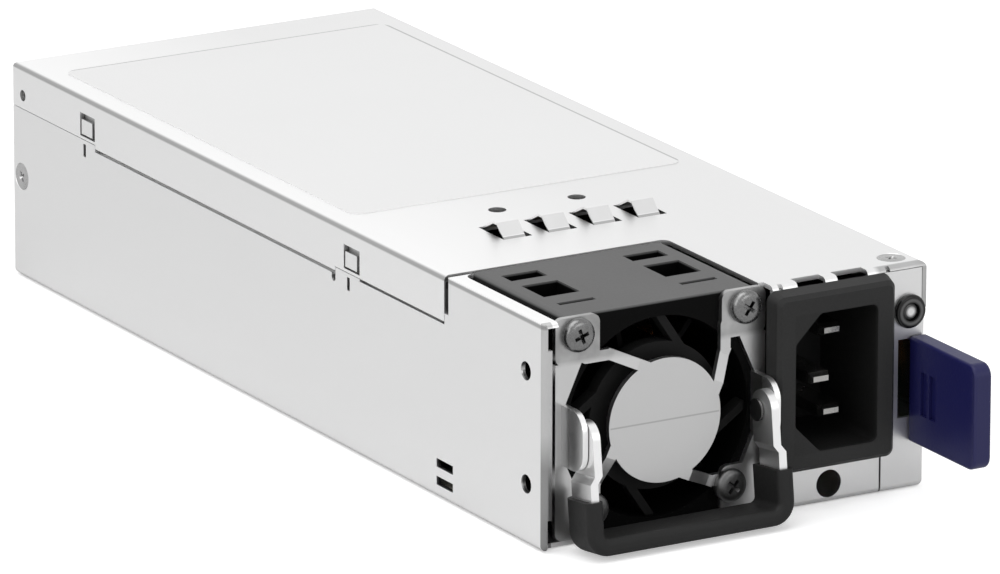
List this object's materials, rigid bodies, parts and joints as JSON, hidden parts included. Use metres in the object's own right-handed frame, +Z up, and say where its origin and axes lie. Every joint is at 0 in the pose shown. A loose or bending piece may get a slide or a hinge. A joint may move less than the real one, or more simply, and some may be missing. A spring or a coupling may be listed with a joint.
{
  "type": "hot swap server power supply",
  "caption": "Slim hot swap server power supply: folded steel case, guarded fan, hinged pull handle, mains inlet, side release latch and rear card-edge tongue",
  "frame": {"origin": "middle of the case's underside, in the base plane, halfway along the folded case's length and width", "axes": "+Y runs along the length from the fan and inlet face to the rear panel with its edge connector, +Z is up through the top cover, +X points to the side that carries the release latch"},
  "size_m": [0.0755, 0.2145, 0.0409],
  "materials": {
    "case_sheet": "zinc-plated sheet steel",
    "fan_plastic": "black glass-filled plastic",
    "guard_sheet": "nickel-plated sheet steel",
    "bright_steel": "bright plated steel",
    "black_steel": "black oxide steel",
    "grip_rubber": "dark moulded elastomer",
    "inlet_plastic": "charcoal thermoplastic",
    "pin_brass": "nickel-plated brass",
    "light_plastic": "black glossy plastic",
    "light_lens": "clear diffusing plastic",
    "tab_plastic": "dark blue thermoplastic",
    "board_laminate": "green solder mask on fibreglass",
    "gold": "gold-plated copper",
    "insulation": "translucent aramid sheet",
    "brass": "turned brass",
    "copper": "enamelled copper wire",
    "ferrite": "ferrite",
    "magnet": "bonded ferrite",
    "laminations": "stacked silicon steel",
    "capacitor_sleeve": "sleeved aluminium can",
    "film_capacitor": "yellow moulded case",
    "fuse_glass": "glass tube with metal caps",
    "heat_sink": "extruded aluminium",
    "chip_epoxy": "black epoxy",
    "tape": "yellow polyester tape over copper"
  },
  "bodies": {
    "case": {"chassis_tray": "case_sheet", "top_cover": "case_sheet", "rear_panel": "case_sheet", "case_screws": "bright_steel", "fan_frame": "fan_plastic", "fan_bearings": "bright_steel", "fan_stator_core": "laminations", "fan_coils": "copper", "fan_circuit_board": "board_laminate", "fan_guard": "guard_sheet", "guard_screws": "bright_steel", "fan_screws": "black_steel", "handle_rivets": "bright_steel", "inlet_housing": "inlet_plastic", "inlet_line_pin": "pin_brass", "inlet_neutral_pin": "pin_brass", "inlet_earth_pin": "pin_brass", "status_light_ring": "light_plastic", "status_light_pipe": "light_lens", "status_diode": "light_lens", "latch_anchor": "bright_steel", "latch_rivets": "bright_steel", "main_circuit_board": "board_laminate", "edge_contacts": "gold", "insulation_sheet": "insulation", "board_standoffs": "brass", "board_screws": "bright_steel", "line_choke": "copper", "line_capacitor": "film_capacitor", "line_fuse": "fuse_glass", "bulk_capacitor": "capacitor_sleeve", "boost_choke_core": "ferrite", "boost_choke_winding": "copper", "transformer_core": "ferrite", "transformer_winding": "tape", "primary_heat_sink": "heat_sink", "secondary_heat_sink": "heat_sink", "power_transistors": "chip_epoxy", "output_capacitors": "capacitor_sleeve", "control_board": "board_laminate"},
    "fan_wheel": {"fan_rotor": "fan_plastic", "fan_shaft": "bright_steel", "fan_magnet": "magnet"},
    "handle": {"handle_strap": "guard_sheet", "handle_grip": "grip_rubber"},
    "latch": {"latch_leaf": "bright_steel", "release_tab": "tab_plastic"}
  },
  "joints": [
    {"name": "fan_spin", "type": "hinge", "parent": "case", "child": "fan_wheel", "pos_m": [-0.01335, -0.08, 0.01905], "axis": [0, 1, 0], "continuous": true},
    {"name": "handle_swing", "type": "hinge", "parent": "case", "child": "handle", "pos_m": [-0.01335, -0.0945, 0.01905], "axis": [-1, 0, 0], "range_deg": [0, 80]},
    {"name": "latch_press", "type": "hinge", "parent": "case", "child": "latch", "pos_m": [0.03535, -0.0425, 0.0195], "axis": [0, 0, -1], "range_deg": [0, 3.2], "stiffness_Nm_per_rad": 3, "springref_deg": -1.15}
  ]
}
